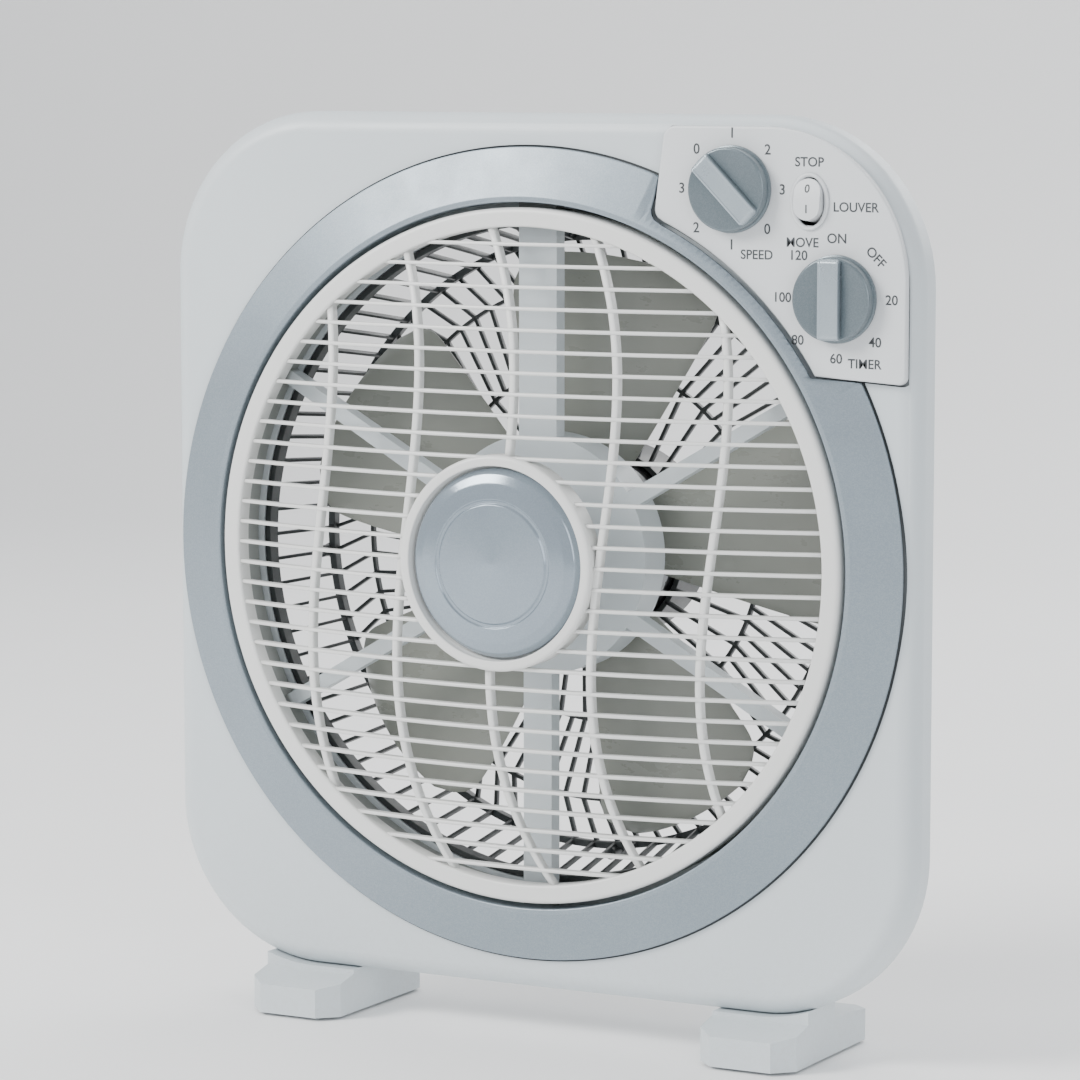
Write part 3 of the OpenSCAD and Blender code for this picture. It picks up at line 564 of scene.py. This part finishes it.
def rib_x(x0, z):
    """A rib leans to the right with height, in a slight S."""
    return x0 + 0.13 * z - 1.0e-5 * z ** 3


def rib(x0, z0, z1):
    steps = max(6, int(abs(z1 - z0) / 6))
    section = slat_section(RIB_W / 2, SLAT_DEPTH, 1.2)
    return loft([[at(rib_x(x0, z) + v, z, dome(rib_x(x0, z), z) + 0.7 + w) for v, w in section]
                 for z in (z0 + (z1 - z0) * k / steps for k in range(steps + 1))])


def make_louver():
    reach, gap = CLEAR_R + 1.5, HUB_RING_R - 3
    parts = [turned([(CLEAR_R, 1, 0.3), (CLEAR_R, -RING_RISE - 1, 1.6), (RIM_R, -RING_RISE - 1, 2.6),
                     (RIM_R, 1, 0.3)]),
             turned([(HUB_RING_R, -22, 0.3), (HUB_RING_R, -0.5 - RING_RISE - DOME_RISE, 2.2),
                     (HUB_RING_R - 5, -0.5 - RING_RISE - DOME_RISE, 0.8), (HUB_RING_R - 5, CUP_FLOOR, 0),
                     (BOSS_BORE_R, CUP_FLOOR, 0), (BOSS_BORE_R, BOSS_BACK, 0.4), (BOSS_R, BOSS_BACK, 0.4),
                     (BOSS_R, -22, 0)], segments=160)]
    for i in range(SLATS):
        z = (i - SLATS // 2) * SLAT_PITCH
        end = math.sqrt(reach ** 2 - z * z)
        if abs(z) < gap:
            start = math.sqrt(gap ** 2 - z * z)
            parts += [slat(start, end, z), slat(-end, -start, z)]
        else:
            parts.append(slat(-end, end, z))
    for x0 in RIB_STARTS:
        inside = [z for z in range(-158, 159) if gap < math.hypot(rib_x(x0, z), z) < reach]
        start = inside[0]
        for a, b in zip(inside, inside[1:] + [None]):
            if b is None or b - a > 1:
                parts.append(rib(x0, start, a))
                start = b
    refine(build("louver", *joined(*parts), "grille_plastic", "louver_grille"))


def make_hub_cap():
    front = CAP_FRONT
    r = CAP_R
    section = [(0, front, 0), (27.6, front + 0.7, 0.6), (28.4, front + 1.5, 0.3), (29.6, front + 1.5, 0.3),
               (30.2, front + 0.9, 0.6), (37.5, front + 1.8, 6), (r - 2.2, front + 3.4, 2.5),
               (r, front + 6.5, 1.5), (r, CUP_FLOOR, 0.2), (r - 2.5, CUP_FLOOR, 0.2), (r - 2.5, front + 8, 1),
               (36, front + 4.5, 2), (0, front + 3, 0)]
    refine(build("cap", *turned(section, segments=160), "cap_plastic", "hub_cap"))


# ---- Trim ring and panel ----

PANEL_RIGHT, PANEL_TOP, PANEL_BOTTOM, PANEL_CORNER, PANEL_ARC = 193.5, 202.4, 87.8, 70.0, 174.0


SPEED_PRINT_R, TIMER_PRINT_R = 25.3, 27.0


def arc(cx, cz, r, a0, a1, n):
    return [(cx + r * math.cos(math.radians(a0 + (a1 - a0) * i / n)),
             cz + r * math.sin(math.radians(a0 + (a1 - a0) * i / n))) for i in range(n + 1)]


def panel_outline(grow=0.0):
    c = (PANEL_RIGHT - PANEL_CORNER, PANEL_TOP - PANEL_CORNER)
    return (arc(*c, PANEL_CORNER + grow, 0, 90, 40) + arc(77.8, PANEL_TOP - 6, 6 + grow, 90, 170, 8)
            + arc(72.6, 164, 5 + grow, 176, 235, 6) + arc(0, 0, PANEL_ARC - grow, 65.3, 31.2, 28)
            + arc(190, PANEL_BOTTOM + 3.5, 3.5 + grow, 270, 360, 8))


def make_trim_ring():
    """The ring, with its outer slope cut back along the panel."""
    inner = 166.5
    section = [(inner, -RING_RISE, 0.9), (inner + 2.5, -RING_RISE, 2.2), (RING_R, -0.6, 0.8),
               (RING_R, 0.55, 0.2), (RING_R - 1.6, 0.55, 0.2), (RING_R - 1.6, 1.5, 0), (RING_R - 4, 1.5, 0),
               (inner + 2.5, -5.5, 0.5), (inner + 2.5, 4.5, 0.2), (inner, 4.5, 0.4)]
    ring = build("ring", *turned(section, segments=360), "trim_silver", "trim_ring")
    cutter = build("ring_cutter", *plate(panel_outline(1.2), [(-30, 0), (30, 0)]), "black_plastic")
    beyond = [(inner + 2.6, -31, 0), (260, -31, 0), (260, 31, 0), (inner + 2.6, 31, 0)]
    keep = build("ring_keep", *turned(beyond, segments=360), "black_plastic")
    cut_away(cutter, keep, "INTERSECT")
    cut_away(ring, cutter)
    repaint(ring, PAINTS["trim_silver"])
    refine(ring)


def lettering(words, size, place):
    """Flat raised print; place turns (across, up, outward) in millimetres into a point."""
    curve = bpy.data.curves.new("print", "FONT")
    curve.body = words
    curve.size = size * MM
    curve.extrude = 0.03 * MM
    curve.offset = 0.09 * MM
    curve.align_x, curve.align_y = "CENTER", "CENTER"
    holder = bpy.data.objects.new("print", curve)
    bpy.context.scene.collection.objects.link(holder)
    mesh = bpy.data.meshes.new_from_object(
        holder.evaluated_get(bpy.context.evaluated_depsgraph_get()))
    verts = [place(v.co.x / MM, v.co.y / MM, v.co.z / MM) for v in mesh.vertices]
    faces = [list(p.vertices) for p in mesh.polygons]
    bpy.data.objects.remove(holder)
    bpy.data.curves.remove(curve)
    bpy.data.meshes.remove(mesh)
    return verts, faces


def on_panel(x, z, turn=0.0):
    c, si = math.cos(math.radians(turn)), math.sin(math.radians(turn))
    return lambda u, v, out: at(x + u * c - v * si, z + u * si + v * c, PANEL_FRONT - 0.03 - out)


def on_rocker(middle):
    """On the rocker's crown at rest, centred at a distance along it."""
    crown_r, crown_h, pivot, lean = 35.0, 10.0, 3.0, math.radians(83)
    c, si = math.cos(lean), math.sin(lean)

    def place(u, v, out):
        along = v + middle
        height = crown_h - crown_r + math.sqrt(crown_r ** 2 - along ** 2) + 0.04 + out
        return at(ROCKER_AT[0] + u, ROCKER_AT[1] + along * si + height * c, pivot + along * c - height * si)
    return place


def make_print(name, marks, body):
    print_piece = build(name, *joined(*marks), "black_plastic", smooth=False)
    print_piece.data.materials.clear()
    print_piece.data.materials.append(LEGEND_INK)
    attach(print_piece, body)


def make_panel():
    f = PANEL_FRONT
    levels = [(f, 1.1), (f + 0.12, 0.55), (f + 0.45, 0.15), (f + 1.1, 0), (0.4, 0), (0.45, 1.3), (1.5, 1.3)]
    body = build("panel", *plate(panel_outline(), levels), "panel_plastic", "control_panel")
    pocket = fillet([(ROCKER_AT[0] + sx * 7.0, ROCKER_AT[1] + sz * 10.9, 6.8)
                     for sx, sz in ((1, 1), (-1, 1), (-1, -1), (1, -1))], steps=8)
    tools = [build("pocket", *plate(pocket, [(-20, 0), (20, 0)]), "black_plastic")]
    for x, z in (SPEED_AT, TIMER_AT):
        tools.append(build("bore", *plate(arc(x, z, 3.5, 0, 348, 29), [(-20, 0), (20, 0)]), "black_plastic"))
    for tool in tools:
        cut_away(body, tool)
    repaint(body, PAINTS["panel_plastic"])
    refine(body)


def make_bezel():
    """An oval bezel round the rocker."""
    f = PANEL_FRONT
    steps = 64
    rings = []
    for k in range(steps):
        a = 2 * math.pi * k / steps
        c, si = math.cos(a), math.sin(a)
        rings.append([at(ROCKER_AT[0] + rx * c, ROCKER_AT[1] + rz * si, d) for rx, rz, d in
                      ((9.7, 13.2, f + 0.2), (9.5, 13.0, f - 0.8), (9.0, 12.5, f - 1.2), (8.2, 11.9, f - 1.2),
                       (7.5, 11.3, f - 0.7), (7.1, 11.0, f + 0.3))])
    verts = [p for ring in rings for p in ring]
    m = len(rings[0])
    faces = [[k * m + j, ((k + 1) % steps) * m + j, ((k + 1) % steps) * m + (j + 1) % m, k * m + (j + 1) % m]
             for k in range(steps) for j in range(m)]
    bezel = build("rocker_bezel", verts, faces, "panel_plastic")
    refine(bezel)
    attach(bezel, "housing")


def make_legends():
    """Numbers of the dials and plain control words, all generic."""
    marks = []
    for i, word in enumerate(("0", "1", "2", "3", "0", "1", "2", "3")):
        dx, dz = polar(SPEED_PRINT_R, 135 - 45 * i)
        marks.append(lettering(word, 6.6, on_panel(SPEED_AT[0] + dx, SPEED_AT[1] + dz)))
    for i, word in enumerate(("ON", "OFF", "20", "40", "60", "80", "100", "120")):
        dx, dz = polar(TIMER_PRINT_R, 90 - 45 * i)
        turn = -45 if word == "OFF" else 0
        marks.append(lettering(word, 6.2, on_panel(TIMER_AT[0] + dx, TIMER_AT[1] + dz, turn)))
    for word, x, z in (("SPEED", 119.7, 144.4), ("STOP", 145.6, 186.6), ("LOUVER", 168.6, 166.6),
                       ("MOVE", 142.4, 150.4), ("TIMER", 173.5, 96.5)):
        marks.append(lettering(word, 6.0, on_panel(x, z)))
    make_print("panel_legend", marks, "housing")
    rocker_marks = [lettering("0", 5.2, on_rocker(4.6)), lettering("I", 5.2, on_rocker(-4.6))]
    make_print("rocker_marks", rocker_marks, "rocker")


# ---- Knobs and rocker ----


def make_knob(name, centre, turn, node):
    """A round knob with a raised finger bar, grooved along its top, the bar painted lighter as a painted
    highlight.
    """
    base, front = KNOB_BASE, KNOB_FRONT
    deck = base - 6.6
    r = KNOB_R
    skirt = turned([(0, base, 0), (r, base, 0.2), (r - 0.1, base - 1.0, 0.2), (r - 0.9, base - 1.3, 0.2),
                    (r - 0.9, deck + 0.5, 0.8), (r - 1.8, deck, 0.6), (r * 0.5, deck + 0.35, 2),
                    (0, deck + 0.5, 0)], centre, 128)
    half, reach = 5.3, r - 1.4
    edge = math.degrees(math.asin(half / reach))
    c, si = math.cos(math.radians(turn)), math.sin(math.radians(turn))

    def spot(u, v, depth):
        return at(centre[0] + u * c - v * si, centre[1] + u * si + v * c, depth)

    # Sections across the bar, stepping along its length
    rows = []
    lengths = [-1.0, -0.985, -0.95, -0.88, -0.7, -0.45, -0.2, 0.0, 0.2, 0.45, 0.7, 0.88, 0.95, 0.985, 1.0]
    for t in lengths:
        v = t * (reach - 0.3)
        drop = 2.2 * max(0.0, (abs(t) - 0.93) / 0.07) ** 2
        side = min(half, math.sqrt(max(0.5, reach ** 2 - v * v)))
        top = front + drop
        lip = min(0.9, side * 0.3)
        section = fillet([(-side, deck + 1.2, 0), (-side + 0.3, top, 0.7), (-side + 0.3 + lip, top, 0.3),
                          (-side + 0.6 + lip, top + 0.3, 0.3), (side - 0.6 - lip, top + 0.3, 0.3),
                          (side - 0.3 - lip, top, 0.3), (side - 0.3, top, 0.7), (side, deck + 1.2, 0)],
                         closed=False, steps=3)
        rows.append([spot(u, v, d) for u, d in section])
    knob = build(name, *joined(skirt, loft(rows)), "knob_plastic", node)
    # The bar takes the lighter copy of the knob's paint, as painted highlight
    knob.data.materials.append(KNOB_BAR_PAINTED_HIGHLIGHT)
    for polygon in knob.data.polygons:
        if min(polygon.vertices) >= len(skirt[0]):
            polygon.material_index = 1
    refine(knob)


# ---- Fan blade ----

HUB_R, BLADE_MID, BLADE_HALF, BLADE_T = 38.0, 50.0, 10.0, 2.0
BLADES, BLADE_FIRST = 5, 5.5
# Degrees from the middle of a blade to its edge, at the hub, and how much less at the tip
BLADE_SPAN, BLADE_NARROWS = 28.0, 6.0
BLADE_LEAN, BLADE_HOLLOW, TIP_ROUND = 4.5, 4.0, 22.0


def blade_point(r, s, side, first):
    """A point at radius r, from edge to edge by s of -1 to 1, on the front (side 1) or back (-1)."""
    t = max(0.0, (r - HUB_R) / (BLADE_R - HUB_R))
    span = BLADE_SPAN - BLADE_NARROWS * t
    tip = math.sqrt(1 - max(0.0, (r - BLADE_R + TIP_ROUND) / TIP_ROUND) ** 4 * 0.55)
    a = math.radians(first + BLADE_LEAN * t - s * span * tip)
    depth = BLADE_MID - s * BLADE_HALF * (0.5 + 0.5 * r / BLADE_R) - BLADE_HOLLOW * (1 - s * s)
    edge = max(abs(s), (r - HUB_R) / (BLADE_R - HUB_R)) ** 14
    thick = BLADE_T * (0.5 - 0.32 * edge)
    return at(r * math.sin(a), r * math.cos(a), depth - side * thick)


def make_blades():
    nr, ns = 30, 24
    parts = []
    for i in range(BLADES):
        first = BLADE_FIRST + 360 / BLADES * i
        rows = []
        for j in range(nr + 1):
            r = HUB_R - 1.5 + (BLADE_R - HUB_R + 1.5) * j / nr
            front = [blade_point(r, 2 * k / ns - 1, 1, first) for k in range(ns + 1)]
            back = [blade_point(r, 2 * k / ns - 1, -1, first) for k in range(ns, -1, -1)]
            rows.append(front + back)
        m = len(rows[0])
        verts = [p for row in rows for p in row]
        faces = [[a * m + q, (a + 1) * m + q, (a + 1) * m + (q + 1) % m, a * m + (q + 1) % m]
                 for a in range(nr) for q in range(m)]
        for a in (0, nr):
            faces += [[a * m + k, a * m + k + 1, a * m + m - 2 - k, a * m + m - 1 - k] for k in range(ns)]
        parts.append((verts, faces))
    parts.append(turned([(HUB_R, 60, 0.6), (HUB_R, 34, 2.2), (HUB_R - 2.5, 34, 0.8), (HUB_R - 2.5, 40, 1.0),
                         (4.1, 40, 0), (4.1, 58, 0), (9, 58, 0.6), (9, 43, 1.0), (HUB_R - 2.5, 43, 1.0),
                         (HUB_R - 2.5, 60, 0.6)], segments=128))
    # Ribs inside the hub
    low, out = 8.0, HUB_R - 1.5
    for k in range(10):
        rows = []
        c, si = polar(1, 36 * k + 18)
        for d in (42.5, 46, 52, 56):
            rows.append([at(low * c - u * si, low * si + u * c, d) for u in (-0.9, 0.9)]
                        + [at(out * c - u * si, out * si + u * c, d) for u in (0.9, -0.9)])
        parts.append(loft(rows))
    refine(build("blades", *joined(*parts), "blade_plastic", "fan_blade"))


# ---- Back guard ----

GUARD_BACK, GUARD_BAR_W = 70.0, 1.7
SKIRT_OPEN, SKIRT_R, SKIRT_BACK_R = 28.5, 155.0, 149.5
POD_R, POD_BACK = 47.5, 99.0
BARS = 80
GUARD_RINGS = (87.0, 126.0)
GUARD_DEPTH = 3.4
SCREW_R, SCREW_TURN = 151.0, 40.5


def box_bar(p0, p1, width, front, back):
    """A bar with a rounded section between two points of (x, z)."""
    a, b = Vector(p0), Vector(p1)
    n = Vector((-(b - a).y, (b - a).x)).normalized() * (width / 2)
    r = 0.45
    rows = []
    for p in (a, b):
        rows.append([at(p.x + n.x * k, p.y + n.y * k, d) for k, d in
                     ((-1, front + r), (-0.5, front), (0.5, front), (1, front + r),
                      (1, back - r), (0.5, back), (-0.5, back), (-1, back - r))])
    return loft(rows)


def guard_zone(count, r0, r1, a0, a1):
    """Bars that run from radius r0 to radius r1 and lean by an angle on the way."""
    step = 360 / count
    return [box_bar(polar(r0, i * step + a0), polar(r1, i * step + a1), GUARD_BAR_W,
                    GUARD_BACK, GUARD_BACK + GUARD_DEPTH) for i in range(count)]


def make_guard():
    """The skirt with its open side bars, then the flat guard with the motor pod."""
    parts = [turned([(SKIRT_R, 21, 0.4), (SKIRT_R + 3, 21, 0.4), (SKIRT_R + 3, 26, 0.2), (169, 26, 0.3),
                     (169, SKIRT_OPEN, 0.3), (SKIRT_R, SKIRT_OPEN, 0.3)]),
             turned([(SKIRT_BACK_R - 3.5, 67, 0.5), (SKIRT_BACK_R, 67, 0.5), (SKIRT_BACK_R, 69.9, 0.2),
                     (SKIRT_BACK_R - 3.5, 69.9, 0.2)])]
    for i in range(BARS):
        a = 360 * i / BARS
        c, si = polar(1, a)
        rows = []
        for r, d in ((SKIRT_R + 1.4, SKIRT_OPEN - 1), ((SKIRT_R + SKIRT_BACK_R) / 2 - 0.2, 48),
                     (SKIRT_BACK_R - 1.9, 68)):
            rows.append([at((r + u) * c - v * si, (r + u) * si + v * c, d) for u, v in
                         ((-1.4, -0.5), (-1.1, -0.8), (1.1, -0.8), (1.4, -0.5),
                          (1.4, 0.5), (1.1, 0.8), (-1.1, 0.8), (-1.4, 0.5))])
        parts.append(loft(rows))
    for a in range(45, 360, 90):
        parts.append(turned([(0, 62, 0), (3, 62, 0.4), (3, 69.9, 0.2), (0, 69.9, 0)],
                            polar(SCREW_R, a - SCREW_TURN), 24))
    refine(build("skirt", *joined(*parts), "guard_plastic", "guard_skirt"))
    step = 360 / BARS
    inner, outer = GUARD_RINGS
    parts = guard_zone(BARS // 2, POD_R - 1.5, inner, 0, step)
    parts += guard_zone(BARS, inner, outer, step, 0.2 * step)
    parts += guard_zone(BARS, outer, 147.5, 0.2 * step, step)
    for r in GUARD_RINGS:
        parts.append(turned([(r - 0.9, GUARD_BACK + 0.1, 0.4), (r + 0.9, GUARD_BACK + 0.1, 0.4),
                             (r + 0.9, GUARD_BACK + 3.2, 0.4), (r - 0.9, GUARD_BACK + 3.2, 0.4)]))
    parts.append(turned([(146.5, GUARD_BACK, 0.5), (149.5, GUARD_BACK, 0.5), (149.5, 73.5, 0.8),
                         (146.5, 73.5, 0.8)]))
    for a in range(45, 360, 90):
        parts.append(turned([(1.6, GUARD_BACK, 0), (3.5, GUARD_BACK, 0.3), (3.5, 73.5, 0.6), (1.6, 73.5, 0.2)],
                            polar(SCREW_R, a - SCREW_TURN), 24))
    parts.append(turned([(POD_R - 2.5, GUARD_BACK, 0.4), (POD_R, GUARD_BACK, 0.4), (POD_R, POD_BACK, 1.1),
                         (POD_R - 2.5, POD_BACK, 0.6), (POD_R - 2.5, 95, 0.4), (10, 95, 0.6), (10, 92, 0.2),
                         (POD_R - 2.5, 92, 0.2)], segments=128))
    refine(build("guard", *joined(*parts), "guard_plastic", "rear_grille"))


# ---- Front shell ----


def make_front_shell():
    """The front shell with a shadow gap round the trim ring and round the panel, the groove faces in a dark
    grey as painted shade.
    """
    node = frame["nodes"]["front_housing"]
    work = bmesh.new()
    work.from_mesh(node.data)
    bmesh.ops.remove_doubles(work, verts=work.verts, dist=0.000002)
    verts = [v.co.copy() for v in work.verts]
    faces = [[v.index for v in f.verts] for f in work.faces]
    work.free()
    shell = build("front_shell", verts, faces, "housing_plastic", "front_housing")
    shell.data.materials.append(GAP_PAINTED_SHADE)
    tools = [build("gap", *turned([(RING_R - 1.5, 0.2, 0), (RING_R + 0.9, 0.2, 0), (RING_R + 0.9, 2.8, 0),
                                   (RING_R - 1.5, 2.8, 0)], segments=240), "housing_plastic"),
             build("gap", *plate(panel_outline(1.2), [(0.2, 0), (2.8, 0)]), "housing_plastic")]
    for tool in tools:
        # The cut groove faces take the dark grey as painted shade
        tool.data.materials.append(GAP_PAINTED_SHADE)
        for polygon in tool.data.polygons:
            polygon.material_index = 1
        cut_away(shell, tool)
    for polygon in shell.data.polygons:
        polygon.use_smooth = True
    soften(shell, 0.3)


# ---- CAD nodes that stay ----

EDGE_ROUND = {"left_foot": 2.2, "right_foot": 2.2, "back_cover": 0.8, "louver_rocker": 0.8}
OTHER_EDGE_ROUND = 0.5
OWN_PIECES = ("front_housing", "guard_skirt", "rear_grille", "louver_grille", "hub_cap", "trim_ring",
              "control_panel", "speed_knob", "timer_knob", "fan_blade")

make_camera()
make_stage()
make_lights()
paint_cad_nodes()
make_louver()
make_hub_cap()
make_trim_ring()
make_panel()
make_bezel()
make_legends()
make_knob("speed_dial_knob", SPEED_AT, 45, "speed_knob")
make_knob("timer_dial_knob", TIMER_AT, 0, "timer_knob")
make_blades()
make_front_shell()
make_guard()
for name, node in frame["nodes"].items():
    if name not in OWN_PIECES:
        soften(node, EDGE_ROUND.get(name, OTHER_EDGE_ROUND))
